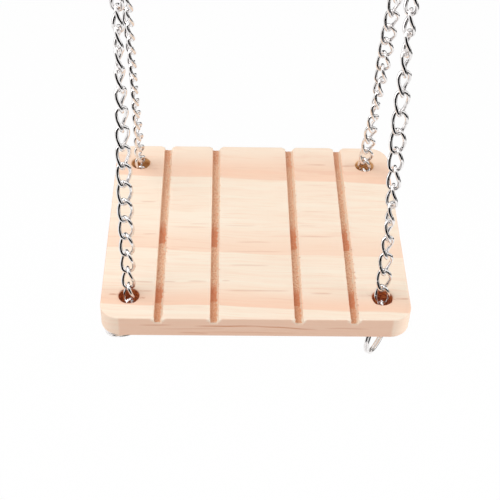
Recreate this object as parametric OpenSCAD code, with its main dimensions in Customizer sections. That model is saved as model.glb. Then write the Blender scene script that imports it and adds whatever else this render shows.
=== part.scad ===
// Hamster swing: a grooved wooden seat hung on four chains of twisted wire links.
// A split ring under the seat stops each chain in its hole.
// A ring and a hook gather the front and the back chain of each side.
// Millimetres. X runs along the front edge, Y runs to the back and Z is up from the seat's top face.

/* [Seat board] */
// Width along the front edge
board_w = 120; // [100:1:160]
// Depth from front to back
board_d = 105; // [90:1:140]
// Thickness
board_t = 9.5; // [8:0.5:14]
// Radius of the upright corners
corner_r = 8; // [4:0.5:10]
// Chamfer that eases the top and bottom edges
edge_ease = 0.6; // [0.2:0.1:1.2]
// Groove width
groove_w = 3.2; // [2:0.1:5]
// Groove depth
groove_depth = 2.2; // [1:0.1:3.5]
// Inner groove, from the middle of the seat
groove_inner = 16.2; // [10:0.1:22]
// Outer groove, from the middle of the seat
groove_outer = 37.6; // [28:0.1:42]
// Chain hole diameter
hole_d = 8; // [8:0.1:10]
// Hole centre, in from the side edge
hole_inset_x = 10.8; // [9:0.1:14]
// Hole centre, in from the front or back edge
hole_inset_y = 12.2; // [9:0.1:18]

/* [Chain] */
// Wire diameter of a link
wire_d = 1.4; // [1.2:0.05:1.5]
// Outside width of a link
link_w = 6.4; // [6.1:0.1:6.5]
// Rise from one link to the next
link_pitch = 7.4; // [7.2:0.1:8.5]
// Links above each anchor link, lead link and chain together
link_count = 24; // [15:1:30]
// Turn of each anchor link: front left, front right, back left, back right
anchor_turn = [88, 136, 34, 154]; // [-180:1:180]
// Turn of each lead link, in the same order
lead_turn = [130, -8, 65, -20]; // [-180:1:180]
// Turn from each link to the next in the lower part of the chain, in the same order
link_twist = [11, 19.5, 4.5, 18]; // [0:0.5:24]

/* [Rings] */
// Outside diameter of a split ring
ring_od = 20; // [16:0.5:26]
// Strand diameter of a split ring
strand_d = 1.1; // [0.8:0.05:1.2]
// Turn of each stop ring about the upright, in the order of the chains
ring_turn = [20, 58, 145, 95]; // [-180:1:180]
// Backward lean of each stop ring
ring_lean = [17, 0, 0, 0]; // [0:1:20]

/* [Hooks] */
// Wire diameter of a hook
hook_wire = 2.4; // [1.8:0.1:3]
// Bend radius of a hook, to the middle of its wire
hook_bend = 5; // [4:0.1:8]

/* [Hidden] */
$fn = 32;

// Clearances: link to link, lead link on its anchor link, chain on its lead link, ring in a link,
// ring in the hole's mouth, ring on its hook, and coil to coil of a split ring
link_gap = 0.2;
anchor_gap = 0.4;
hang_gap = 0.3;
ring_gap = 0.6;
mouth_gap = 0.35;
hook_gap = 0.25;
coil_gap = 0.06;

// Every second arc of a bent wire is this much thinner and runs this far into its neighbours
seam = 0.02;
lap = 0.08;

// Link: bow twist at each end, strand slope at mid height, half length and half width of the centre line
bow_turn = 45;
strand_slope = 28;
link_half = (link_pitch + wire_d + link_gap) / 2;
link_side = (link_w - wire_d) / 2;

// Split ring: two coils side by side, half the angle of the step between them, and the gap at each end
ring_r = (ring_od - strand_d) / 2;
coil_step = strand_d + coil_gap;
jog = 16;
end_gap = 8;

// A hook's tip stops this far short of level with its bend's centre
tip_short = 5;

// Holes
hole_x = board_w / 2 - hole_inset_x;
hole_y = board_d / 2 - hole_inset_y;

// A stop ring rises into the hole's mouth until its outer coil meets the rim
mouth_half = sqrt(pow(hole_d / 2, 2) - pow((coil_step + strand_d) / 2, 2));
ring_rise = ring_od / 2 - sqrt(pow(ring_od / 2, 2) - pow(mouth_half, 2)) - mouth_gap;
stop_z = ring_rise - board_t - strand_d / 2;

// An anchor link stands upright over its stop ring, and from its top the links lean in
ring_to_bow = (strand_d + wire_d) / 2 + ring_gap;
anchor_z = stop_z - ring_to_bow + link_half;
bend_z = anchor_z + link_half - (wire_d + anchor_gap) / 2;

// Leaning links: place of the lead link, run to the top ring's centre, and lean
lead_at = link_half - (wire_d + anchor_gap) / 2;
chain_run = link_at(link_count) + link_half + ring_r - ring_to_bow;
chain_lean = asin(hole_y / chain_run);
top_z = bend_z + chain_run * cos(chain_lean);

// The upper third of a chain turns its last link into line with the top ring
low_links = round(link_count * 2 / 3);
last_turn = 35;

// Hook: middle of its wire under the top ring's upper arc
hook_z = top_z + ring_r - (strand_d + hook_wire) / 2 - hook_gap;

// Corners are numbered front left, front right, back left, back right
function side(i) = i % 2 == 0 ? -1 : 1;
function end(i) = i < 2 ? -1 : 1;

function unit(v) = v / norm(v);

// Angle that spans the lap on an arc of the given radius
function lap_angle(radius) = lap / radius * 180 / PI;

// Rigid placement with the given axes and origin
function placement(x, y, p) = [
  [x[0], y[0], cross(x, y)[0], p[0]],
  [x[1], y[1], cross(x, y)[1], p[1]],
  [x[2], y[2], cross(x, y)[2], p[2]],
  [0, 0, 0, 1]
];

// Place of link k along its leaning line, counted from the lead link
function link_at(k) = lead_at + link_pitch * (k - 1) - (k > 1 ? hang_gap - link_gap : 0);

// Turn of link k of chain i about the chain: even low down, then on to the top ring's line
function low_turn(i, k) = lead_turn[i] + link_twist[i] * (k - 1);
function end_turn(i) = last_turn + 180 * ceil((low_turn(i, low_links) - last_turn) / 180);
function upper_share(k) = (k - low_links) / (link_count - low_links);
function upper_turn(i, k) =
  low_turn(i, low_links) + (end_turn(i) - low_turn(i, low_links)) * upper_share(k);
function turn_of(i, k) = k <= low_links ? low_turn(i, k) : upper_turn(i, k);

// Cross-section of the board between two opposite edges
function eased_section(half) = [
  [edge_ease - half, 0],
  [half - edge_ease, 0],
  [half, -edge_ease],
  [half, edge_ease - board_t],
  [half - edge_ease, -board_t],
  [edge_ease - half, -board_t],
  [-half, edge_ease - board_t],
  [-half, -edge_ease]
];

// Upright rounded corner with eased ends
module corner_post() {
  rotate_extrude()
    polygon([
      [0, 0],
      [corner_r - edge_ease, 0],
      [corner_r, -edge_ease],
      [corner_r, edge_ease - board_t],
      [corner_r - edge_ease, -board_t],
      [0, -board_t]
    ]);
}

module board_blank() {
  for (x = [-1, 1], y = [-1, 1])
    translate([x * (board_w / 2 - corner_r), y * (board_d / 2 - corner_r), 0])
      corner_post();
  rotate([90, 0, 0])
    linear_extrude(board_d - 2 * corner_r, center = true)
      polygon(eased_section(board_w / 2));
  rotate([90, 0, 90])
    linear_extrude(board_w - 2 * corner_r, center = true)
      polygon(eased_section(board_d / 2));
}

module seat_board() {
  color("BurlyWood")
    difference() {
      board_blank();
      for (x = [-groove_outer, -groove_inner, groove_inner, groove_outer])
        translate([x - groove_w / 2, -board_d, -groove_depth])
          cube([groove_w, 2 * board_d, board_t]);
      for (i = [0 : 3])
        at_hole(i, -2 * board_t)
          cylinder(d = hole_d, h = 3 * board_t);
    }
}

module at_hole(i, z) {
  translate([side(i) * hole_x, end(i) * hole_y, z])
    children();
}

// Round wire bent about the Z axis from angle a to angle b
module flat_arc(radius, a, b, d) {
  rotate([0, 0, a])
    rotate_extrude(angle = b - a)
      translate([radius, 0])
        circle(d = d);
}

// Round wire bent in one arc that leaves p along the unit vector t and ends at q
module wire_arc(p, t, q, d, thin) {
  chord = q - p;
  inward = unit(chord - (chord * t) * t);
  radius = (chord * chord) / (2 * (chord * inward));
  sweep = 2 * atan2(chord * inward, chord * t);
  over = thin * lap_angle(radius);
  multmatrix(placement(-inward, t, p + radius * inward))
    flat_arc(radius, -over, sweep + over, d - seam * thin);
}

// Round wire in two arcs that leaves p along p_dir and arrives at q along q_dir
module wire_bend(p, p_dir, q, q_dir, d, first_thin) {
  span = q - p;
  both = p_dir + q_dir;
  k = 2 * (1 - p_dir * q_dir);
  reach = (sqrt(pow(span * both, 2) + k * (span * span)) - span * both) / k;
  join = (p + q + reach * (p_dir - q_dir)) / 2;
  join_dir = unit(span - reach * both);
  wire_arc(p, p_dir, join, d, first_thin);
  wire_arc(join, join_dir, q, d, 1 - first_thin);
}

// One closed link on the Z axis, four bends from a bow's crown to mid side
module twisted_link() {
  crown = [0, 0, link_half];
  crown_dir = [cos(bow_turn), -sin(bow_turn), 0];
  mid = [link_side, 0, 0];
  mid_dir = [0, sin(strand_slope), -cos(strand_slope)];
  for (m = [0, 1])
    rotate([0, 0, 180 * m]) {
      wire_bend(crown, crown_dir, mid, mid_dir, wire_d, m);
      rotate([180, 0, 0])
        wire_bend(crown, crown_dir, mid, mid_dir, wire_d, 1 - m);
    }
}

// Leaning links of corner i, from link a up to link b
module leaning_links(i, a, b) {
  color("Silver")
    at_hole(i, bend_z)
      rotate([end(i) * chain_lean, 0, 0])
        for (k = [a : b])
          translate([0, 0, link_at(k)])
            rotate([0, 0, turn_of(i, k)])
              twisted_link();
}

// Straight run of links that sways on its lead link, up to the top ring
module chain(i) {
  leaning_links(i, 2, link_count);
}

// Link half in hole i, half above the seat
module lead_link(i) {
  leaning_links(i, 1, 1);
}

// Lowest link of corner i, upright in its hole
module anchor_link(i) {
  color("Silver")
    at_hole(i, anchor_z)
      rotate([0, 0, anchor_turn[i]])
        twisted_link();
}

// Double-wound ring about the Z axis, stepping from one coil to the other on its +X side
module split_ring() {
  step = [0, ring_r * sin(jog), coil_step / 2];
  start = [ring_r * cos(jog), 0, 0] - step;
  finish = [ring_r * cos(jog), 0, 0] + step;
  translate([0, 0, -coil_step / 2])
    flat_arc(ring_r, jog + end_gap, 360 - jog, strand_d);
  wire_bend(start, [sin(jog), cos(jog), 0], finish, [-sin(jog), cos(jog), 0], strand_d, 1);
  translate([0, 0, coil_step / 2])
    flat_arc(ring_r, jog - lap_angle(ring_r), 360 - jog - end_gap, strand_d - seam);
}

// Ring under the seat, hung from the middle of its upper arc in the hole's mouth
module stop_ring(i) {
  color("Silver")
    at_hole(i, stop_z)
      rotate([0, 0, ring_turn[i]])
        rotate([ring_lean[i], 0, 0])
          translate([0, 0, -ring_r])
            rotate([90, 0, 0])
              split_ring();
}

// Ring that gathers the two chains of side s, square to the front edge
module top_ring(s) {
  color("Silver")
    translate([s * hole_x, 0, top_z])
      rotate([90, 0, 90])
        split_ring();
}

// S-shaped hook in the top ring of side s
module hook(s) {
  color("Silver")
    translate([s * hole_x, 0, hook_z])
      rotate([90, 0, 0]) {
        translate([0, hook_bend, 0])
          flat_arc(hook_bend, tip_short - 180, 90, hook_wire);
        translate([0, 3 * hook_bend, 0])
          flat_arc(hook_bend, tip_short, 270 + lap_angle(hook_bend), hook_wire - seam);
      }
}

module front_left_chain() chain(0);
module front_right_chain() chain(1);
module back_left_chain() chain(2);
module back_right_chain() chain(3);
module front_left_lead_link() lead_link(0);
module front_right_lead_link() lead_link(1);
module back_left_lead_link() lead_link(2);
module back_right_lead_link() lead_link(3);
module front_left_anchor_link() anchor_link(0);
module front_right_anchor_link() anchor_link(1);
module back_left_anchor_link() anchor_link(2);
module back_right_anchor_link() anchor_link(3);
module front_left_stop_ring() stop_ring(0);
module front_right_stop_ring() stop_ring(1);
module back_left_stop_ring() stop_ring(2);
module back_right_stop_ring() stop_ring(3);
module left_top_ring() top_ring(-1);
module right_top_ring() top_ring(1);
module left_hook() hook(-1);
module right_hook() hook(1);

seat_board();
front_left_chain();
front_right_chain();
back_left_chain();
back_right_chain();
front_left_lead_link();
front_right_lead_link();
back_left_lead_link();
back_right_lead_link();
front_left_anchor_link();
front_right_anchor_link();
back_left_anchor_link();
back_right_anchor_link();
front_left_stop_ring();
front_right_stop_ring();
back_left_stop_ring();
back_right_stop_ring();
left_top_ring();
right_top_ring();
left_hook();
right_hook();
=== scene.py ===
"""Looks of a hamster swing: a pale pine seat on four chains of twisted, nickel-plated wire links.

Sizes are in millimetres and repeat those of the part. Meshes are made in metres in its frame:
X runs along the seat's front edge, Y to the back, and Z is up from the seat's top face.
"""

import math

import bpy
import numpy as np
from mathutils import Matrix, Vector, noise


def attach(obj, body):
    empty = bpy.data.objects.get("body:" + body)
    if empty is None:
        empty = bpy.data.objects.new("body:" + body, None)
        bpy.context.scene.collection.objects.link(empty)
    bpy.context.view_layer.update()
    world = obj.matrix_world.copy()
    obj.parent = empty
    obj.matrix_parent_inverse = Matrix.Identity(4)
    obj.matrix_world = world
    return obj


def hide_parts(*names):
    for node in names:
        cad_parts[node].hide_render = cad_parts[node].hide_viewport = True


MM = 0.001

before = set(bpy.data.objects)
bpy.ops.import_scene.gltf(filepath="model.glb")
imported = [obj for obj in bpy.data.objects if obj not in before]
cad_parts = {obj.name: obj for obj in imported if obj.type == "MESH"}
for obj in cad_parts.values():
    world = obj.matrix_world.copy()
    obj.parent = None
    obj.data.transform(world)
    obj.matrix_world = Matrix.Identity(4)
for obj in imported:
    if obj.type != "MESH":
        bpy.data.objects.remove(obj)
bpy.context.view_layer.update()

# ---------------------------------------------------------------- sizes

# The four corners, with the sign of each one's X and Y
CORNERS = ("front_left", "front_right", "back_left", "back_right")
SIDE = (-1, 1, -1, 1)
END = (-1, -1, 1, 1)

BOARD_W, BOARD_D, BOARD_T = 120.0, 105.0, 9.5
CORNER_R = 8.0
EASE = 0.45
GROOVE_W, GROOVE_DEPTH = 3.2, 2.2
GROOVES = (-37.6, -16.2, 16.2, 37.6)
HOLE_R = 4.0
HOLE_X, HOLE_Y = 49.2, 40.3

# Links: turns about the chain's line are in degrees, one for each corner
WIRE_D, LINK_W, LINK_PITCH, LINK_COUNT = 1.4, 6.4, 7.4, 24
ANCHOR_TURN = (88, 136, 34, 154)
LEAD_TURN = (130, -8, 65, -20)
LINK_TWIST = (11, 19.5, 4.5, 18)
LAST_TURN = 35
BOW_TURN, STRAND_SLOPE = 45, 28
LINK_GAP, ANCHOR_GAP, HANG_GAP, RING_GAP = 0.2, 0.4, 0.3, 0.6
MOUTH_GAP, HOOK_GAP, COIL_GAP = 0.35, 0.25, 0.06
LINK_HALF = (LINK_PITCH + WIRE_D + LINK_GAP) / 2
LINK_SIDE = (LINK_W - WIRE_D) / 2
LOW_LINKS = round(LINK_COUNT * 2 / 3)  # the links that turn evenly

# Split rings: turn, lean and the steps in their coils are in degrees
RING_OD, STRAND_D = 20.0, 1.1
RING_TURN = (20, 58, 145, 95)
RING_LEAN = (17, 0, 0, 0)
RING_R = (RING_OD - STRAND_D) / 2
COIL_STEP = STRAND_D + COIL_GAP
JOG, END_GAP = 16, 8

# Hooks: wire, radius of the bends, and the degrees by which their tips stop short
HOOK_WIRE, HOOK_BEND, TIP_SHORT = 2.4, 5.0, 5

# Heights that follow from the sizes, from the stop rings up to the hooks
MOUTH_HALF = math.sqrt(HOLE_R**2 - ((COIL_STEP + STRAND_D) / 2) ** 2)
RING_RISE = RING_OD / 2 - math.sqrt((RING_OD / 2) ** 2 - MOUTH_HALF**2) - MOUTH_GAP
STOP_Z = RING_RISE - BOARD_T - STRAND_D / 2
RING_TO_BOW = (STRAND_D + WIRE_D) / 2 + RING_GAP
ANCHOR_Z = STOP_Z - RING_TO_BOW + LINK_HALF
LEAD_AT = LINK_HALF - (WIRE_D + ANCHOR_GAP) / 2
BEND_Z = ANCHOR_Z + LEAD_AT


def link_at(k):
    """Place of link k along its leaning line."""
    return LEAD_AT + LINK_PITCH * (k - 1) - (HANG_GAP - LINK_GAP if k > 1 else 0)


CHAIN_RUN = link_at(LINK_COUNT) + LINK_HALF + RING_R - RING_TO_BOW
CHAIN_LEAN = math.asin(HOLE_Y / CHAIN_RUN)
TOP_Z = BEND_Z + CHAIN_RUN * math.cos(CHAIN_LEAN)
HOOK_Z = TOP_Z + RING_R - (STRAND_D + HOOK_WIRE) / 2 - HOOK_GAP


# ---------------------------------------------------------------- meshes


def new_mesh(name, verts, faces, material):
    """A mesh in metres from vertices in millimetres."""
    mesh = bpy.data.meshes.new(name)
    mesh.from_pydata((np.asarray(verts) * MM).tolist(), [], faces)
    mesh.materials.append(material)
    return mesh


def in_scene(name, data):
    """A new object of the scene."""
    made = bpy.data.objects.new(name, data)
    bpy.context.scene.collection.objects.link(made)
    return made


def make_piece(name, verts, faces, material, body, slot, node, values=None):
    """A smooth-shaded piece that rides on a body and stands for a CAD node."""
    mesh = new_mesh(name, verts, faces, material)
    for key, numbers in (values or {}).items():
        layer = mesh.attributes.new(key, "FLOAT", "POINT")
        layer.data.foreach_set("value", np.asarray(numbers, np.float32))
    mesh.shade_smooth()
    piece = in_scene(name, mesh)
    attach(piece, body)
    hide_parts(node)


def arc(p, t, q, steps):
    """Points of the arc that leaves p along the unit vector t and ends at q, without q."""
    chord = q - p
    inward = chord - (chord @ t) * t
    inward /= np.linalg.norm(inward)
    radius = (chord @ chord) / (2 * (chord @ inward))
    sweep_angle = 2 * math.atan2(chord @ inward, chord @ t)
    a = np.linspace(0, sweep_angle, steps, endpoint=False)[:, None]
    return p + radius * inward + radius * (np.sin(a) * t - np.cos(a) * inward)


def bend(p, p_dir, q, q_dir, steps=24):
    """Points of two arcs from p along p_dir to q along q_dir, without q."""
    span = q - p
    both = p_dir + q_dir
    k = 2 * (1 - p_dir @ q_dir)
    reach = (math.sqrt((span @ both) ** 2 + k * (span @ span)) - span @ both) / k
    join = (p + q + reach * (p_dir - q_dir)) / 2
    join_dir = span - reach * both
    join_dir /= np.linalg.norm(join_dir)
    return np.vstack([arc(p, p_dir, join, steps), arc(join, join_dir, q, steps)])


def flat_arc(radius, start, stop, steps):
    """Points round the Z axis between two angles in degrees, both included."""
    a = np.radians(np.linspace(start, stop, steps))
    return np.stack([radius * np.cos(a), radius * np.sin(a), np.zeros(steps)], 1)


def lengths_along(line):
    """Length of a line from its start up to each of its points."""
    return np.concatenate([[0], np.cumsum(np.linalg.norm(np.diff(line, axis=0), axis=1))])


def points_at(stations, length, line):
    """Points of a line at the given lengths along it."""
    return np.stack([np.interp(stations, length, line[:, c]) for c in range(3)], 1)


FIRST_ACROSS = (0.31, 0.17, 0.94)  # a direction that no wire starts along


def sweep(line, radii, sides, closed):
    """Vertices and faces of a round wire along a line, with frames that do not spin."""
    line = np.asarray(line, float)
    count = len(line)
    if closed:
        tangent = np.roll(line, -1, 0) - np.roll(line, 1, 0)
    else:
        tangent = np.gradient(line, axis=0)
    tangent /= np.linalg.norm(tangent, axis=1)[:, None]
    normal = np.cross(tangent[0], FIRST_ACROSS)
    normals = [normal / np.linalg.norm(normal)]
    for i in range(1, count + closed):
        n = normals[-1] - (normals[-1] @ tangent[i % count]) * tangent[i % count]
        normals.append(n / np.linalg.norm(n))
    spin = np.zeros(count)
    if closed:
        first, last = normals[0], normals.pop()
        gap = math.atan2(np.cross(last, first) @ tangent[0], last @ first)
        spin = gap * np.arange(count) / count
    normals = np.array(normals)
    binormals = np.cross(tangent, normals)
    a = spin[:, None] + np.arange(sides) / sides * math.tau
    ring = np.cos(a)[..., None] * normals[:, None] + np.sin(a)[..., None] * binormals[:, None]
    verts = line[:, None] + ring * np.asarray(radii)[:, None, None]
    faces = []
    for i in range(count if closed else count - 1):
        low, high = i * sides, (i + 1) % count * sides
        for j in range(sides):
            k = (j + 1) % sides
            faces.append((low + j, low + k, high + k, high + j))
    if not closed:
        faces.append(tuple(range(sides - 1, -1, -1)))
        faces.append(tuple(range((count - 1) * sides, count * sides)))
    return verts.reshape(-1, 3), faces


TIP_SHARE = 0.45  # of the wire's radius, left at its very end
TIP_POINTS, TIP_SKIPS = 6, 3


def rounded_ends(line, radius, run):
    """A line with extra points at its ends, and radii that round the wire off there."""
    length = lengths_along(line)
    inset = run * (1 - np.cos(np.linspace(0, math.pi / 2, TIP_POINTS)))
    middle = length[TIP_SKIPS:-TIP_SKIPS]
    stations = np.unique(np.concatenate([inset, length[-1] - inset, middle]))
    edge = np.clip(np.minimum(stations, length[-1] - stations) / run, 0, 1)
    radii = radius * (TIP_SHARE + (1 - TIP_SHARE) * np.sqrt(1 - (1 - edge) ** 2))
    return points_at(stations, length, line), radii


def turned(points, degrees, axis):
    """Points turned about one of the axes."""
    return points @ np.array(Matrix.Rotation(math.radians(degrees), 3, axis)).T


def joined(parts):
    """One list of vertices and faces out of several."""
    verts, faces, start = [], [], 0
    for v, f in parts:
        verts.append(v)
        faces += [tuple(i + start for i in face) for face in f]
        start += len(v)
    return np.vstack(verts), faces


# ---------------------------------------------------------------- chain, rings and hooks

LINK_SIDES, LINK_RINGS = 14, 72
RING_SIDES, RING_STEPS, JOG_STEPS, RING_TIP = 16, 90, 8, 0.35
HOOK_SIDES, HOOK_STEPS, HOOK_TIP = 20, 60, 0.8

# The seam in a link: its share of the way round, the points about it, and the wire's share there
SEAM_AT, SEAM_WIRE = 0.75, 0.9
SEAM_POINTS = np.array([-0.12, -0.05, 0, 0.05, 0.12])
SEAM_CLEAR, SEAM_HALF = 0.2, 0.01


def link_mesh():
    """One closed link on the Z axis, with the fine seam where its wire's two ends meet."""
    c, s = math.cos(math.radians(BOW_TURN)), math.sin(math.radians(BOW_TURN))
    crown, crown_dir = np.array([0, 0, LINK_HALF]), np.array([c, -s, 0])
    slope = math.radians(STRAND_SLOPE)
    mid, mid_dir = np.array([LINK_SIDE, 0, 0]), np.array([0, math.sin(slope), -math.cos(slope)])
    flip = np.array([1, -1, -1])
    half = np.vstack([bend(crown, crown_dir, mid, mid_dir),
                      bend(mid, mid_dir, crown * flip, -crown_dir * flip)])
    loop = np.vstack([half, half * [-1, 1, -1], half[:1]])
    length = lengths_along(loop)
    seam = length[-1] * SEAM_AT
    even = np.linspace(0, length[-1], LINK_RINGS, endpoint=False)
    stations = np.sort(np.concatenate([even[abs(even - seam) > SEAM_CLEAR], seam + SEAM_POINTS]))
    radii = np.where(abs(stations - seam) < SEAM_HALF, SEAM_WIRE, 1.0) * WIRE_D / 2
    return sweep(points_at(stations, length, loop), radii, LINK_SIDES, True)


def split_ring():
    """Double-wound ring about the Z axis that steps from coil to coil on its +X side."""
    j = math.radians(JOG)
    step = np.array([0, RING_R * math.sin(j), COIL_STEP / 2])
    middle = np.array([RING_R * math.cos(j), 0, 0])
    lift = np.array([0, 0, COIL_STEP / 2])
    low = flat_arc(RING_R, JOG + END_GAP, 360 - JOG, RING_STEPS)[:-1] - lift
    over = bend(middle - step, np.array([math.sin(j), math.cos(j), 0]),
                middle + step, np.array([-math.sin(j), math.cos(j), 0]), JOG_STEPS)
    high = flat_arc(RING_R, JOG, 360 - JOG - END_GAP, RING_STEPS) + lift
    line, radii = rounded_ends(np.vstack([low, over, high]), STRAND_D / 2, RING_TIP)
    return sweep(line, radii, RING_SIDES, False)


LINK_VERTS, LINK_FACES = link_mesh()
RING_VERTS, RING_FACES = split_ring()


def low_turn(i, k):
    """Turn of link k where the turns are even."""
    return LEAD_TURN[i] + LINK_TWIST[i] * (k - 1)


def turn_of(i, k):
    """Turn of link k about its chain: even low down, then on to the top ring's line."""
    if k <= LOW_LINKS:
        return low_turn(i, k)
    start = low_turn(i, LOW_LINKS)
    end = LAST_TURN + 180 * math.ceil((start - LAST_TURN) / 180)
    return start + (end - start) * (k - LOW_LINKS) / (LINK_COUNT - LOW_LINKS)


def leaning_links(i, first, last):
    """Links of corner i from the first to the last, on the line that leans in."""
    parts = []
    for k in range(first, last + 1):
        v = turned(LINK_VERTS, turn_of(i, k), "Z") + [0, 0, link_at(k)]
        v = turned(v, END[i] * math.degrees(CHAIN_LEAN), "X")
        parts.append((v + [SIDE[i] * HOLE_X, END[i] * HOLE_Y, BEND_Z], LINK_FACES))
    return joined(parts)


def anchor_link(i):
    """The upright link in the hole of corner i."""
    v = turned(LINK_VERTS, ANCHOR_TURN[i], "Z")
    return v + [SIDE[i] * HOLE_X, END[i] * HOLE_Y, ANCHOR_Z], LINK_FACES


def stop_ring(i):
    """The ring that hangs in the anchor link of corner i."""
    v = turned(RING_VERTS, 90, "X") + [0, 0, -RING_R]
    v = turned(turned(v, RING_LEAN[i], "X"), RING_TURN[i], "Z")
    return v + [SIDE[i] * HOLE_X, END[i] * HOLE_Y, STOP_Z], RING_FACES


def top_ring(s):
    """The ring in which a side's two chains meet."""
    return turned(turned(RING_VERTS, 90, "X"), 90, "Z") + [s * HOLE_X, 0, TOP_Z], RING_FACES


def hook(s):
    """S-shaped hook: an open bend in the top ring and one that opens the other way above it."""
    low = flat_arc(HOOK_BEND, TIP_SHORT - 180, 90, HOOK_STEPS) + [0, HOOK_BEND, 0]
    high = flat_arc(HOOK_BEND, 270, TIP_SHORT, HOOK_STEPS) + [0, 3 * HOOK_BEND, 0]
    line, radii = rounded_ends(np.vstack([low[:-1], high]), HOOK_WIRE / 2, HOOK_TIP)
    verts, faces = sweep(line, radii, HOOK_SIDES, False)
    return turned(verts, 90, "X") + [s * HOLE_X, 0, HOOK_Z], faces


# ---------------------------------------------------------------- seat board

PATCH = 5.7  # half the side of the square round a hole that the grid leaves to its rings
STRAIGHT = 1.0  # from the outer grooves to where the grid starts to follow the corners
TINY = 1e-6

# Steps of the grid in X: outside the holes, across a hole's square and between the grooves
OUTER_STEPS, PATCH_STEPS, STRIP_STEPS = 8, 18, (6, 26, 40, 26, 6)
# Rows in Y: in the rounded ends and between the holes. Rows in Z: down the outside and a hole
END_ROWS, MIDDLE_ROWS, WALL_ROWS, HOLE_ROWS = 13, 168, 37, 19

# Half of a groove from outside in: distance from its edge, depth, raggedness and roughness
GROOVE_HALF = (
    (-1.6, 0.0, 0.0, 0.0), (-1.0, 0.0, 0.35, 0.0), (-0.5, 0.0, 0.65, 0.0), (-0.2, 0.0, 0.85, 0.0),
    (0.0, 0.02, 1.0, 0.0), (0.05, 0.2, 1.0, 0.1), (0.1, 0.8, 0.7, 0.2), (0.14, 1.5, 0.5, 0.3),
    (0.26, 2.0, 0.3, 0.6), (0.5, 2.2, 0.0, 1.0), (0.78, 2.2, 0.0, 1.0), (1.05, 2.2, 0.0, 1.0),
    (1.33, 2.2, 0.0, 1.0), (1.6, 2.2, 0.0, 1.0),
)

# The worn grain of the top and the underside: mean, broad and fine waves, the underside's shift
WORN_MEAN, WORN_BROAD, WORN_FINE, UNDERSIDE = 0.035, 0.03, 0.025, 31
# The same of the outer faces, and the painted light on their rounded corners: how soon, and how
# much paler
SIDE_WORN, SIDE_WAVE, LIT_CORNER_SOON, LIT_CORNER_PALER = 0.025, 0.02, 10, 0.65
FRONT_FACING = -0.9  # a wall that faces further to -Y is the front face

# A groove's torn edges: the least on its right, shares of the noise on its right and left, and
# the share of it all by which the edge drops
TORN_LEAST, TORN_RIGHT, TORN_LEFT, TORN_DOWN = 0.22, 0.5, 0.2, 0.5
NAP_BROAD, NAP_FINE = 0.15, 0.09
LIT_STRIP_W = 0.95  # width of the painted lit strip, paler, on the right of a groove's floor
# A groove's ends: the run and width of the flare there, and its drop at the back and the front
FLARE_RUN, FLARE_W, FLARE_BACK, FLARE_FRONT = 1.8, 1.5, 1.3, 0.8
# Raw wood there: shares of the flare and the tear, least raggedness, and its fade down the front
RAW_FLARE, RAW_TEAR, RAW_RAGGED, RAW_FADE = 1.5, 8, 0.8, 7
# The saw's colour with painted shadow from a groove's left wall: its least share, on the floor's
# painted lit strip, and how far the shadow's edge wavers along the groove
SAWN_ON_LIT_STRIP, SHADOW_EDGE_WAVE = 0.25, 0.7

# A hole: eased edge, chips outward and down, ridges of the drill, scorched rim and edge
RIM, CHIP_OUT, CHIP_DOWN, RIM_CHIP, RIDGE = 0.28, 0.45, 0.3, 0.5, 0.05
RIM_BURNT, EDGE_BURNT = 0.12, 0.5
CHIP_WAVES, CHIP_RAW = 2.2, 0.5
SQUARE_CORNER = -135  # degrees from the hole to its square's first corner
RIM_SHARES = (0.25, 0.5, 0.72, 0.88, 1.0)  # from the square to the circle
FACE_DEPTH, STREAK_DEPTH = 1.0, 0.2  # as far down as the worn grain and the dark streaks, fibres and a painted chain shadow, go
RIM_TURNS, EASE_TURNS = np.radians((30, 60, 90)), np.radians((22.5, 45, 67.5, 90))

# Darker fibres on the top face, and one painted chain shadow: from x to x, at y, and how dark
STREAKS = (
    (-48, -41, 14.7, 0.55), (-46, -40, -5.2, 0.5), (-48, -40, -32.7, 0.8), (-37, -31, -32.5, 0.6),
    (-27, -19, -32.3, 0.6), (-13.5, -10, -31.9, 0.5), (-46, -40, -37.7, 0.5), (-34, -19, -1, 0.3),
    (-27, -19, 1.1, 0.4), (-13, 1, 0.2, 0.4), (-8, 7, -9.6, 0.5), (-14, 12, -15.1, 0.4),
    (-11, 6, -23.1, 0.6), (-13, 13.5, -37, 0.75), (-35, -18, -46.2, 0.3), (22, 32.5, 40.4, 0.8),
    (38, 46, 39.8, 0.7), (19, 31, 9.4, 0.3), (18, 26, 0.5, 0.35), (17.8, 33, -6, 0.55),
    (21, 30, -38.4, 0.55), (38, 46.5, -39.5, 0.6), (-52, -40, 36.5, 0.3), (-12, 10, 37.5, 0.3),
    # The last entry on the next line is painted shadow: the front-left chain's shadow on the top
    # face, right of its hole
    (20, 33, 26.5, 0.25), (-57.2, -53, -39.6, 0.9), (-45.4, -42.6, -41.3, 0.9),
    (52.6, 60, -41, 1.0),
)

# Darker fibres on the front face: from x to x, height at each end, and how dark
FRONT_STREAKS = (
    (-45, -32, -3.5, -3.4, 0.9), (-24, 2, -3.9, -3.5, 1.5), (-3, 24, -3.5, -5.6, 1.3),
    (-38, -12, -5.6, -5.2, 0.5), (26, 44, -4.6, -4.9, 0.7), (-20, 16, -7.2, -7.6, 0.5),
    (-30, -18, -7.6, -7.9, 0.8),
)
STREAK_HALF, STREAK_WANDER, STREAK_REACH = 0.26, 0.3, 1.2

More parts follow.
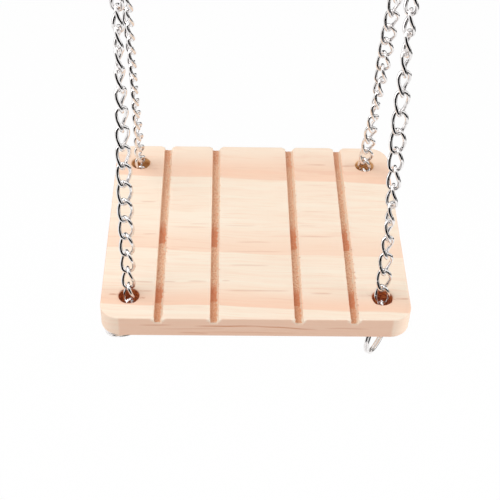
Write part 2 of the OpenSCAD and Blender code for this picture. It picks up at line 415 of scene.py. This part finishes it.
# Loose fibres: two on the front edge, some at each groove's front end and along its right edge
FRONT_SLIVERS = (
    ((28.6, -51.9, -0.1), (29.6, -52.25, -0.12), (30.3, -52.38, -0.2)),
    ((30.9, -51.8, -0.1), (30.1, -52.2, -0.12), (29.5, -52.36, -0.26)),
)
END_SLIVERS, END_SLIVER_Y = 4, (-51.2, -51.9, -52.35)
EDGE_SLIVERS, EDGE_SLIVER_Y, EDGE_SLIVER_STEP, EDGE_SLIVER_LEAST = 64, -49, 1.5, 0.08
SLIVER_RADII, SLIVER_SIDES = (0.12, 0.1, 0.04), 6


def grain(x, y, z=0.0):
    """Smooth noise between -1 and 1. The places come scaled to its waves, and z picks a pattern."""
    return noise.noise(Vector((x, y, z)))


def fibre_line(x, across, start, stop, place, dark):
    """Share of a dark streak at x and across the grain: a fibre, and in one place a painted chain
    shadow.
    """
    along = abs(2 * x - start - stop) / (stop - start)
    if along >= 1:
        return 0.0
    off = across - place - STREAK_WANDER * grain(0.12 * x, place)
    return dark * (1 - along**3) * math.exp(-((off / STREAK_HALF) ** 2))


def top_streak(x, y):
    """Share of the darkest streak at a place of the top face: fibres, and one painted chain shadow.
    """
    near = (s for s in STREAKS if abs(y - s[2]) < STREAK_REACH)
    return max((fibre_line(x, y, *s) for s in near), default=0.0)


def front_streak(x, z):
    """Share of the darkest fibre at a place of the front face."""
    return max(fibre_line(x, z, a, b, za + (zb - za) * (x - a) / (b - a), dark)
               for a, b, za, zb, dark in FRONT_STREAKS)


def relief(x, y):
    """How far the planed top lies below its full height: soft fibres worn a little."""
    broad, fine = grain(0.03 * x, 0.55 * y), grain(0.05 * x, 1.6 * y, 5)
    return WORN_MEAN + WORN_BROAD * broad + WORN_FINE * fine


def torn(y, c, right):
    """How far the saw tore a groove's edge back, more so on its right."""
    ragged = max(0.0, grain(0.8 * y, c) + 0.7 * grain(2.3 * y, c, 3))
    return TORN_LEAST + TORN_RIGHT * ragged if right else TORN_LEFT * ragged


def seat_columns():
    """Grid lines across the seat, each as place, height, raggedness, roughness and groove."""
    columns = []

    def flat(a, b, steps):
        places = np.linspace(a, b, steps, endpoint=False)
        columns.extend((x, 0.0, 0.0, 0.0, None) for x in places)

    def groove(c):
        half = GROOVE_W / 2
        left = [(c - half + d, -z, -rag, rough, c) for d, z, rag, rough in GROOVE_HALF]
        right = [(2 * c - x, z, -rag, rough, c) for x, z, rag, rough, _ in left[-2::-1]]
        columns.extend(left + right[:-1])

    reach = GROOVE_W / 2 - GROOVE_HALF[0][0]
    inner, outer, edge = HOLE_X - PATCH, HOLE_X + PATCH, BOARD_W / 2 - EASE
    flat(-edge, -outer, OUTER_STEPS)
    patch_left = len(columns)
    flat(-outer, -inner, PATCH_STEPS)
    starts = [-inner] + [c + reach for c in GROOVES]
    for start, c, steps in zip(starts, GROOVES, STRIP_STEPS):
        flat(start, c - reach, steps)
        groove(c)
    flat(starts[-1], inner, STRIP_STEPS[-1])
    patch_right = len(columns)
    flat(inner, outer, PATCH_STEPS)
    flat(outer, edge, OUTER_STEPS)
    columns.append((edge, 0.0, 0.0, 0.0, None))
    return columns, (patch_left, patch_right)


def seat_rows():
    """Y places of the grid lines, and the line numbers at each patch."""
    start, radius = BOARD_D / 2 - CORNER_R, CORNER_R - EASE
    first = math.asin((HOLE_Y + PATCH - start) / radius)
    back = start + radius * np.sin(np.linspace(first, math.pi / 2, END_ROWS)[1:])
    patch = np.linspace(HOLE_Y - PATCH, HOLE_Y + PATCH, PATCH_STEPS + 1)
    middle = np.linspace(-patch[0], patch[0], MIDDLE_ROWS)[1:-1]
    ys = np.concatenate([-back[::-1], -patch[::-1], middle, patch, back])
    return ys, (len(back), len(ys) - len(back) - PATCH_STEPS - 1)


class Surface:
    """Vertices with a few values each, and the faces over them."""

    KEYS = ("sawn", "burnt", "side", "raw", "streak")

    def __init__(self):
        self.verts, self.faces = [], []
        self.values = {key: [] for key in self.KEYS}

    def add(self, x, y, z, **values):
        self.verts.append((x, y, z))
        for key in self.KEYS:
            self.values[key].append(values.get(key, 0.0))
        return len(self.verts) - 1

    def bridge(self, a, b):
        """Quads between two closed loops of the same length."""
        for i in range(len(a)):
            j = (i + 1) % len(a)
            self.faces.append((a[i], a[j], b[j], b[i]))


def loop_round(grid, x0, x1, y0, y1):
    """Vertex numbers round a block of the grid, counter-clockwise from above."""
    return ([grid[j, y0] for j in range(x0, x1)] + [grid[x1, k] for k in range(y0, y1)]
            + [grid[j, y1] for j in range(x1, x0, -1)] + [grid[x0, k] for k in range(y1, y0, -1)])


def corner_x(x, y):
    """Draws the outer grid lines in to the rounded corners."""
    keep, full = GROOVES[3] + GROOVE_W / 2 + STRAIGHT, BOARD_W / 2 - EASE
    if abs(x) <= keep:
        return x
    over = max(0.0, abs(y) - BOARD_D / 2 + CORNER_R)
    half = BOARD_W / 2 - CORNER_R + math.sqrt(max(0.0, (CORNER_R - EASE) ** 2 - over**2))
    return math.copysign(keep + (abs(x) - keep) * (half - keep) / (full - keep), x)


def top_vertex(solid, column, y):
    """A point of the top face or of a groove, roughened as the saw left it."""
    x, z, rag, rough, c = column
    x = corner_x(x, y)
    if c is None:
        return solid.add(x, y, -relief(x, y), streak=top_streak(x, y))
    tear = torn(y, c, rag > 0)
    depth = -z / GROOVE_DEPTH
    nap = NAP_BROAD * grain(1.4 * x, 1.4 * y) + NAP_FINE * grain(4 * x, 4 * y, 2)
    end = max(0.0, 1 - (BOARD_D / 2 - abs(y)) / FLARE_RUN)
    outside = max(0.0, abs(x - c) - GROOVE_W / 2)
    flare = end**2 * (1 - depth) * max(0.0, 1 - outside / FLARE_W)
    low = -relief(x, y) * (1 - depth) - TORN_DOWN * abs(rag) * tear * (1 - depth)
    low -= (FLARE_BACK if y > 0 else FLARE_FRONT) * flare
    lip = end**6 * depth * (y < 0)
    ragged = max(0.0, rag - RAW_RAGGED)
    raw = min(1.0, lip + RAW_FLARE * flare + RAW_TEAR * ragged * (tear - TORN_LEAST))
    # Painted light and shade: a strip along the floor's right is painted lit and paler, and the
    # rest lies in painted shadow of the left wall
    shaded = (c + GROOVE_W / 2 - x) / LIT_STRIP_W + SHADOW_EDGE_WAVE * grain(0.9 * y, c, 7)
    sawn = depth * (SAWN_ON_LIT_STRIP + (1 - SAWN_ON_LIT_STRIP) * min(1.0, max(0.0, shaded)))
    return solid.add(x + rag * tear, y, z + low + rough * nap, sawn=sawn, raw=raw,
                     streak=top_streak(x, y) * (1 - depth))


def seat_mesh():
    """The board: a grid on each face, rings round each hole and a wall round the outside."""
    columns, patch_x = seat_columns()
    ys, patch_y = seat_rows()
    stop = len(columns) - 1, len(ys) - 1
    solid = Surface()

    def in_patch(j, k, cell):
        return any(a + 1 - cell <= j < a + PATCH_STEPS for a in patch_x) and any(
            b + 1 - cell <= k < b + PATCH_STEPS for b in patch_y)

    grids = []
    for top in (True, False):
        grid = -np.ones((len(columns), len(ys)), int)
        for j, column in enumerate(columns):
            for k, y in enumerate(ys):
                if in_patch(j, k, 0):
                    continue
                if top:
                    grid[j, k] = top_vertex(solid, column, y)
                else:
                    x = corner_x(column[0], y)
                    grid[j, k] = solid.add(x, y, relief(x + UNDERSIDE, y) - BOARD_T)
        grids.append(grid)
        for j in range(stop[0]):
            for k in range(stop[1]):
                if not in_patch(j, k, 1):
                    quad = (grid[j, k], grid[j + 1, k], grid[j + 1, k + 1], grid[j, k + 1])
                    solid.faces.append(quad if top else quad[::-1])

    for i, (a, b) in enumerate((a, b) for b in patch_y for a in patch_x):
        add_hole(solid, grids, (a, a + PATCH_STEPS, b, b + PATCH_STEPS),
                 SIDE[i] * HOLE_X, END[i] * HOLE_Y)
    add_wall(solid, *(loop_round(grid, 0, stop[0], 0, stop[1]) for grid in grids))
    add_slivers(solid)
    return solid


def add_hole(solid, grids, block, x, y):
    """Rings from the grid to the hole's chipped rim, and down its wall to the other face."""
    top, bottom = (loop_round(grid, *block) for grid in grids)
    count = len(top)
    angle = np.radians(SQUARE_CORNER + 360 * np.arange(count) / count)
    square = np.array([solid.verts[v][:2] for v in top])
    waves = CHIP_WAVES * np.stack([np.cos(angle), np.sin(angle)], 1)
    chip = np.array([max(0.0, grain(u, v, x + y)) for u, v in waves])
    loops = [top]

    def worn(px, py, z):
        if z > -FACE_DEPTH:
            return relief(px, py)
        return -relief(px + UNDERSIDE, py) if z < FACE_DEPTH - BOARD_T else 0.0

    def ring(radius, z, share, burnt, chipped=0.0):
        out = radius + CHIP_OUT * chipped * chip
        circle = np.stack([x + out * np.cos(angle), y + out * np.sin(angle)], 1)
        points = circle * share + square * (1 - share)
        loop = []
        for (px, py), c in zip(points, chip):
            low = worn(px, py, z) + CHIP_DOWN * chipped * c
            streak = top_streak(px, py) if z > -STREAK_DEPTH else 0.0
            loop.append(solid.add(px, py, z - low, burnt=burnt, streak=streak,
                                  raw=CHIP_RAW * chipped * c))
        loops.append(loop)

    for share in RIM_SHARES:
        ring(HOLE_R + RIM, 0.0, share, RIM_BURNT * share**4, RIM_CHIP * share**4)
    for a in RIM_TURNS:
        ring(HOLE_R + RIM * (1 - math.sin(a)), -RIM * (1 - math.cos(a)), 1.0,
             RIM_BURNT + EDGE_BURNT * math.sin(a), 1 - RIM_CHIP * math.sin(a))
    for k, z in enumerate(np.linspace(-RIM, RIM - BOARD_T, HOLE_ROWS)[1:-1]):
        ring(HOLE_R + RIDGE * (k % 2), z, 1.0, 1.0)
    for a in RIM_TURNS[::-1]:
        ring(HOLE_R + RIM * (1 - math.sin(a)), RIM * (1 - math.cos(a)) - BOARD_T, 1.0, EDGE_BURNT)
    for share in RIM_SHARES[::-1]:
        ring(HOLE_R + RIM, -BOARD_T, share, 0.0)
    loops.append(bottom)
    for a, b in zip(loops, loops[1:]):
        solid.bridge(a, b)


def add_wall(solid, top, bottom):
    """The outside: an eased edge, the upright face with painted light on its rounded corners, and
    the lower edge.
    """
    start_x, start_y = BOARD_W / 2 - CORNER_R, BOARD_D / 2 - CORNER_R
    outward = []
    for v in top:
        x, y, _ = solid.verts[v]
        n = Vector((0, y))
        if abs(x) > start_x + TINY or abs(y) < BOARD_D / 2 - EASE - TINY:
            n = Vector((x - math.copysign(start_x, x), y - math.copysign(min(abs(y), start_y), y)))
        outward.append(n.normalized())
    eased = [(EASE * math.sin(a), EASE * (1 - math.cos(a))) for a in EASE_TURNS]
    rows = [(out, drop, 0.0) for out, drop in eased]
    rows += [(EASE, EASE, share) for share in np.linspace(0, 1, WALL_ROWS)[1:]]
    rows += [(out, drop, 1.0) for out, drop in eased[-2::-1]]
    loops = [top]
    for out, drop, share in rows:
        side = out / EASE
        loop = []
        for v, n in zip(top, outward):
            x, y, high = solid.verts[v]
            z = (high - drop) * (1 - share) + (drop - BOARD_T) * share
            worn = side * (SIDE_WORN + SIDE_WAVE * grain(0.25 * (x + y), 0.9 * z, 9))
            # Painted light: the rounded corners take less of the outer faces' browner colour soon
            # after they turn from the face
            lit_corner = min(1.0, LIT_CORNER_SOON * abs(n.x * n.y))
            loop.append(solid.add(
                x + n.x * (out - worn), y + n.y * (out - worn), z,
                side=side * (1 - LIT_CORNER_PALER * lit_corner),
                sawn=solid.values["sawn"][v] * (1 - side),
                raw=solid.values["raw"][v] * max(0.0, 1 - RAW_FADE * share),
                streak=front_streak(x, z) if n.y < FRONT_FACING else 0.0))
        loops.append(loop)
    loops.append(bottom)
    for upper, lower in zip(loops, loops[1:]):
        solid.bridge(lower, upper)


def add_slivers(solid):
    """Fine torn fibres: on the front edge, at the grooves' front ends and on their right edges."""
    pale, brown = list(FRONT_SLIVERS), []
    in_y, mid_y, out_y = END_SLIVER_Y
    for c in GROOVES:
        for s in (-1, 1):
            edge = c + s * GROOVE_W / 2
            for k in range(END_SLIVERS):
                wave = grain(c, s, k)
                z = -0.25 - 0.5 * k
                pale.append(((edge + 0.15 * s, in_y, z), (edge - 0.12 * s, mid_y, z - 0.1),
                             (edge - (0.3 + 0.15 * wave) * s, out_y, z - 0.15 + 0.2 * wave)))
        edge = c + GROOVE_W / 2
        for k in range(EDGE_SLIVERS):
            y = EDGE_SLIVER_Y + EDGE_SLIVER_STEP * k + 1.4 * grain(c, 0.7 * k, 4)
            wave = grain(0.31 * c, 0.83 * k, 6)
            if wave > EDGE_SLIVER_LEAST:
                brown.append(((edge + 0.6, y, -0.25),
                              (edge + 0.15, y + 0.3 * wave, -0.25 - 0.2 * wave),
                              (edge - 0.9 * wave, y + wave, -0.5 - wave)))
    for lines, look in ((pale, {"raw": 1.0}), (brown, {"burnt": 0.6})):
        for line in lines:
            verts, faces = sweep(line, SLIVER_RADII, SLIVER_SIDES, False)
            start = len(solid.verts)
            for x, y, z in verts:
                solid.add(x, y, z, **look)
            solid.faces += [tuple(v + start for v in face) for face in faces]


# ---------------------------------------------------------------- materials


def tone(red, green, blue):
    """A colour given as it looks on screen, from 0 to 255."""
    return (*(((c / 255 + 0.055) / 1.055) ** 2.4 for c in (red, green, blue)), 1.0)


def grey(level):
    """A grey given as its share of light."""
    return (level, level, level, 1)


EARLY_WOOD, LATE_WOOD = tone(252, 236, 216), tone(250, 209, 182)
BROAD_FIBRE, FINE_FIBRE = tone(251, 222, 198), tone(244, 204, 174)
# The second colour on the next line darkens the fibres, and also paints one chain shadow
FIBRE_LINE, DARK_FIBRE_AND_SHADOW = tone(238, 182, 152), tone(206, 136, 98)
# The first colour on the next line is the outer faces' browner wood, darker in part as painted
# shade
SHADED_OUTER_WOOD, PORE = tone(236, 180, 150), tone(206, 150, 116)
# The last colour on the next line is painted shade: the pale wood greyed down in a groove
SAWN_DARK, SAWN_PALE, SHADED_GROOVE_PALE = tone(222, 156, 116), tone(254, 222, 192), tone(236, 212, 188)
SAWN_FRONT, SAWN_LATE = tone(226, 152, 108), tone(218, 130, 86)
FRONT_HOLE_DARK, FRONT_HOLE_PALE = tone(150, 52, 14), tone(242, 144, 76)
# The next line is painted light: the back holes' colours, paler where their far walls are lit
LIT_BACK_HOLE_DARK, LIT_BACK_HOLE_PALE = tone(196, 122, 60), tone(250, 206, 144)
TORN_WOOD = tone(253, 238, 220)
NICKEL_BRIGHT, NICKEL_DULL = tone(246, 243, 242), tone(228, 225, 224)

# Growth rings: place of the pith, radius where one starts, width, slant and wander
PITH_Y, PITH_Z = 75.0, 200.0
GROWTH_START, GROWTH_W, GROWTH_SLANT, GROWTH_WANDER = 205.1, 14.6, 0.035, 7.0


class Graph:
    """Short ways to add nodes to a material or to the world."""

    def __init__(self, owner, shader="Principled BSDF"):
        owner.use_nodes = True
        self.owner, self.tree = owner, owner.node_tree
        self.shader = self.tree.nodes[shader]

    def fill(self, node, inputs):
        """Gives a node's inputs a value or a link each."""
        for key, value in inputs.items():
            if isinstance(value, bpy.types.NodeSocket):
                self.tree.links.new(value, node.inputs[key])
            else:
                node.inputs[key].default_value = value

    def put(self, kind, inputs=None, **settings):
        node = self.tree.nodes.new("ShaderNode" + kind)
        for key, value in settings.items():
            setattr(node, key, value)
        self.fill(node, inputs or {})
        return node

    def math(self, operation, a, b=0.0):
        return self.put("Math", {0: a, 1: b}, operation=operation).outputs[0]

    def times(self, first, *others):
        for other in others:
            first = self.math("MULTIPLY", first, other)
        return first

    def vector(self, x, y, z):
        return self.put("CombineXYZ", {0: x, 1: y, 2: z}).outputs[0]

    def scaled(self, vector, factors):
        return self.put("VectorMath", {0: vector, 1: factors}, operation="MULTIPLY").outputs[0]

    def mix(self, share, a, b):
        return self.put("Mix", {0: share, 6: a, 7: b}, data_type="RGBA").outputs[2]

    def noise(self, vector, scale=1.0, detail=2.0, rough=0.5):
        inputs = {"Vector": vector, "Scale": scale, "Detail": detail, "Roughness": rough}
        return self.put("TexNoise", inputs).outputs[0]

    def ramp(self, value, low, high, to_low=0.0, to_high=1.0):
        inputs = {"Value": value, "From Min": low, "From Max": high,
                  "To Min": to_low, "To Max": to_high}
        return self.put("MapRange", inputs, interpolation_type="SMOOTHSTEP").outputs[0]

    def value_of(self, name):
        return self.put("Attribute", attribute_name=name).outputs["Fac"]

    def bump(self, height, strength, distance):
        inputs = {"Height": height, "Strength": strength, "Distance": distance}
        return self.put("Bump", inputs).outputs[0]

    def directly_seen(self):
        """1 for rays from the camera, off a mirror or through glass, and 0 for other light."""
        rays = self.put("LightPath").outputs
        bent = self.math("MAXIMUM", rays["Is Glossy Ray"], rays["Is Transmission Ray"])
        return self.math("MAXIMUM", rays["Is Camera Ray"], bent)


def pine():
    """Pale pine: wide growth rings about a far pith, fine fibres, saw-cut grooves with painted
    light and shade, drilled holes.
    """
    g = Graph(bpy.data.materials.new("pale_pine"))
    coordinates = g.put("TexCoord").outputs
    mm = g.scaled(coordinates["Object"], (1 / MM, 1 / MM, 1 / MM))
    x, y, z = g.put("SeparateXYZ", {0: mm}).outputs

    # Growth rings: pale early wood that deepens to peach, then stops at a sharp edge
    slow = g.noise(g.scaled(mm, (0.016, 0.03, 0.03)))
    wander = g.times(g.math("SUBTRACT", slow, 0.5), GROWTH_WANDER)
    across = g.math("ADD", g.math("ADD", y, g.times(x, GROWTH_SLANT)), wander)
    radial = g.vector(0.0, g.math("SUBTRACT", across, PITH_Y), g.math("SUBTRACT", z, PITH_Z))
    radius = g.put("VectorMath", {0: radial}, operation="LENGTH").outputs["Value"]
    rings = g.math("DIVIDE", g.math("SUBTRACT", radius, GROWTH_START), GROWTH_W)
    within = g.math("FRACT", rings)
    odd = g.math("FLOORED_MODULO", g.math("FLOOR", rings), 2.0)
    late = g.times(g.ramp(within, 0.52, 0.95), g.ramp(within, 1.0, 0.985),
                   g.ramp(odd, 0.0, 1.0, 0.62, 1.0), g.ramp(y, 34.0, 52.0, 1.0, 0.3))

    # Fibres along the grain, fine and broad
    along = g.vector(x, radius, z)
    fine = g.noise(g.scaled(along, (0.05, 3.2, 0.2)), detail=4.0, rough=0.6)
    broad = g.noise(g.scaled(along, (0.02, 0.9, 0.05)), detail=4.0, rough=0.6)
    line = g.times(g.ramp(broad, 0.56, 0.68), g.ramp(late, 0.0, 0.6, 0.35, 1.0))
    colour = g.mix(late, EARLY_WOOD, LATE_WOOD)
    colour = g.mix(g.times(g.ramp(broad, 0.35, 0.6), 0.4), colour, BROAD_FIBRE)
    colour = g.mix(g.times(g.ramp(fine, 0.5, 0.72), 0.35), colour, FINE_FIBRE)
    colour = g.mix(g.times(line, 0.3), colour, FIBRE_LINE)

    # Outer faces: browner, in part their own colour and in part painted shade, with open pores on
    # the end grain and painted light on the rounded corners. Dark fibres, and one painted chain
    # shadow, lie over all
    side = g.value_of("side")
    facing = g.put("SeparateXYZ", {0: coordinates["Normal"]}).outputs
    end = g.times(g.ramp(g.math("ABSOLUTE", facing[0]), 0.55, 0.95), side)
    pores = g.ramp(g.noise(mm, 2.6, 3.0, 0.65), 0.45, 0.7, 0.1, 0.7)
    # Partly painted shade: the outer faces' browner colour also darkens the dimly lit front face
    colour = g.mix(g.times(side, 0.6), colour, SHADED_OUTER_WOOD)
    colour = g.mix(g.times(end, pores), colour, PORE)
    # Dark streaks: fibres, and one painted chain shadow beside the front-left hole
    colour = g.mix(g.times(g.value_of("streak"), 0.75), colour, DARK_FIBRE_AND_SHADOW)

    # Grooves: pale walls greyed by painted shade, and rough, redder floors in painted shadow with a
    # painted lit strip on the right, darkest where they cut through late wood
    speck = g.noise(g.scaled(mm, (2.4, 1.5, 1.0)), detail=4.0, rough=0.8)
    sawn = g.value_of("sawn")
    floor = g.mix(g.ramp(speck, 0.38, 0.62), SAWN_DARK, SAWN_PALE)
    floor = g.mix(g.ramp(y, -34.0, -46.0, 0.0, 0.5), floor, SAWN_FRONT)
    cut = g.times(g.ramp(within, 0.6, 0.78), g.ramp(within, 1.0, 0.97),
                  g.ramp(y, 34.0, 46.0, 1.0, 0.35))
    floor = g.mix(g.times(cut, g.ramp(speck, 0.3, 0.7, 0.95, 0.6)), floor, SAWN_LATE)
    ragged = g.math("ADD", sawn, g.times(g.math("SUBTRACT", speck, 0.5), 0.7))
    # Painted shade: the grooves' walls and the floors' lit strip take a greyer pale
    colour = g.mix(g.ramp(sawn, 0.04, 0.24), colour, SHADED_GROOVE_PALE)
    colour = g.mix(g.ramp(ragged, 0.5, 0.85), colour, floor)

    # Drilled holes: scorched, with lighter rings of torn grain, and paler at the back as painted
    # light where their far walls are lit
    drilled = g.noise(g.scaled(mm, (0.5, 0.5, 2.4)), detail=3.0, rough=0.65)
    # Painted light: the holes turn paler towards the back
    back = g.ramp(y, -10.0, 10.0)
    char = g.mix(g.ramp(drilled, 0.38, 0.64), g.mix(back, FRONT_HOLE_DARK, LIT_BACK_HOLE_DARK),
                 g.mix(back, FRONT_HOLE_PALE, LIT_BACK_HOLE_PALE))
    colour = g.mix(g.value_of("burnt"), colour, char)
    colour = g.mix(g.value_of("raw"), colour, TORN_WOOD)

    nap = g.times(speck, g.ramp(sawn, 0.3, 1.0, 0.08, 1.0))
    height = g.math("ADD", g.times(fine, 0.35), nap)
    g.fill(g.shader, {
        "Base Color": colour,
        "Roughness": g.ramp(fine, 0.3, 0.7, 0.52, 0.68),
        "Specular IOR Level": 0.3,
        "Normal": g.bump(height, 0.4, 0.0002),
    })
    return g.owner


def nickel():
    """Bright nickel plate on drawn wire, duller in small patches."""
    g = Graph(bpy.data.materials.new("bright_nickel"))
    place = g.put("TexCoord").outputs["Object"]
    patch = g.noise(place, 900.0, 3.0)
    scratch = g.noise(place, 5200.0)
    g.fill(g.shader, {
        "Base Color": g.mix(g.ramp(patch, 0.35, 0.7), NICKEL_BRIGHT, NICKEL_DULL),
        "Metallic": 1.0,
        "Roughness": g.ramp(patch, 0.3, 0.7, 0.03, 0.09),
        "Normal": g.bump(scratch, 0.05, 0.00004),
    })
    return g.owner


# ---------------------------------------------------------------- pieces

PINE, NICKEL = pine(), nickel()

board = seat_mesh()
make_piece("pine_seat", board.verts, board.faces, PINE, "seat", "wood", "seat_board", board.values)

for i, corner in enumerate(CORNERS):
    chains = ("left_chains", "right_chains")[i % 2]
    for name, made, body in (
        ("chain", leaning_links(i, 2, LINK_COUNT), chains),
        ("lead_link", leaning_links(i, 1, 1), "seat"),
        ("anchor_link", anchor_link(i), "seat"),
        ("stop_ring", stop_ring(i), f"{corner}_stop"),
    ):
        make_piece(f"{corner}_{name}_wire", *made, NICKEL, body, "metal", f"{corner}_{name}")

for s, side in ((-1, "left"), (1, "right")):
    for name, made, body in (
        ("top_ring", top_ring(s), f"{side}_top"),
        ("hook", hook(s), "hooks"),
    ):
        make_piece(f"{side}_{name}_wire", *made, NICKEL, body, "metal", f"{side}_{name}")

# ---------------------------------------------------------------- floor, light and camera

FLOOR_Z, FLOOR_R, FLOOR_SIDES = -300.0, 6000.0, 64
FLOOR_GREY, FLOOR_GLOW = grey(0.92), 0.96
FLAG_BLACK = grey(0.005)
LAMP_TARGET = (0, 0, 20)
SKY_FILL, SKY_SEEN = 0.6, 0.985


def white_floor():
    """White for the camera and in reflections, with the object's shadow left on it."""
    g = Graph(bpy.data.materials.new("white_floor"))
    g.fill(g.shader, {"Base Color": FLOOR_GREY, "Roughness": 0.9})
    glow = g.put("Emission", {"Strength": 1.0})
    share = g.times(g.directly_seen(), FLOOR_GLOW)
    mixed = g.put("MixShader", {0: share, 1: g.shader.outputs[0], 2: glow.outputs[0]})
    g.fill(g.tree.nodes["Material Output"], {0: mixed.outputs[0]})
    return g.owner


def softbox(name, place, width, height, power, mirrored=True):
    """A flat lamp that faces the seat. One that is not mirrored leaves no image in the metal."""
    data = bpy.data.lights.new(name, "AREA")
    data.shape, data.size, data.size_y, data.energy = "RECTANGLE", width * MM, height * MM, power
    lamp = in_scene(name, data)
    lamp.location = Vector(place) * MM
    ahead = Vector(LAMP_TARGET) - Vector(place)
    lamp.rotation_euler = ahead.to_track_quat("-Z", "Y").to_euler()
    lamp.visible_glossy = mirrored


def dark_card(name, start, stop, low, high):
    """An upright studio flag between two places: it shows only as a dark band in the metal."""
    g = Graph(bpy.data.materials.new(name))
    g.fill(g.shader, {"Base Color": FLAG_BLACK, "Specular IOR Level": 0.0})
    corners = ((*start, low), (*stop, low), (*stop, high), (*start, high))
    card = in_scene(name, new_mesh(name, corners, [(0, 1, 2, 3)], g.owner))
    card.visible_camera = card.visible_diffuse = False
    card.visible_shadow = card.visible_transmission = False


angles = np.linspace(0, math.tau, FLOOR_SIDES, endpoint=False)
disc = [(math.cos(a) * FLOOR_R, math.sin(a) * FLOOR_R, FLOOR_Z) for a in angles]
floor = in_scene("floor", new_mesh("floor", disc, [tuple(range(FLOOR_SIDES))], white_floor()))

softbox("key_softbox", (-560, 60, 560), 760, 760, 3.65)
softbox("right_softbox", (680, -80, 170), 420, 500, 2.7, mirrored=False)
softbox("front_softbox", (-420, -640, 140), 420, 420, 0.4)

dark_card("front_flag", (-600, -520), (900, -520), -290, 520)
dark_card("back_flag", (-700, 620), (700, 620), -60, 420)
dark_card("left_flag", (-620, 140), (-620, 460), -60, 360)
dark_card("right_flag", (620, -260), (620, 460), -290, 20)

world = bpy.data.worlds.new("studio")
bpy.context.scene.world = world
sky = Graph(world, "Background")
strength = sky.ramp(sky.directly_seen(), 0.0, 1.0, SKY_FILL, SKY_SEEN)
sky.fill(sky.shader, {"Color": grey(1), "Strength": strength})

# The camera was fitted to the board's edges, grooves and holes in the photograph.
CAMERA_AT = (-14.08, -337.84, 311.0)
PITCH, YAW, ROLL = (math.radians(a) for a in (43.849, 2.141, -2.027))
FOCAL_PX, IMAGE_PX, SENSOR = 1108.7, 500, 36.0
CLIP_START, CLIP_END = 0.01, 50

ahead = Vector((math.sin(YAW) * math.cos(PITCH), math.cos(YAW) * math.cos(PITCH), -math.sin(PITCH)))
level_right = Vector((math.cos(YAW), -math.sin(YAW), 0))
level_down = ahead.cross(level_right)
right = math.cos(ROLL) * level_right + math.sin(ROLL) * level_down
down = math.cos(ROLL) * level_down - math.sin(ROLL) * level_right
lens = bpy.data.cameras.new("camera")
lens.sensor_width = SENSOR
lens.lens = FOCAL_PX / IMAGE_PX * SENSOR
lens.clip_start, lens.clip_end = CLIP_START, CLIP_END
camera = in_scene("camera", lens)
axes = Matrix((right, -down, -ahead)).transposed().to_4x4()
camera.matrix_world = Matrix.Translation(Vector(CAMERA_AT) * MM) @ axes
bpy.context.scene.camera = camera

bpy.context.scene.view_settings.view_transform = "Standard"
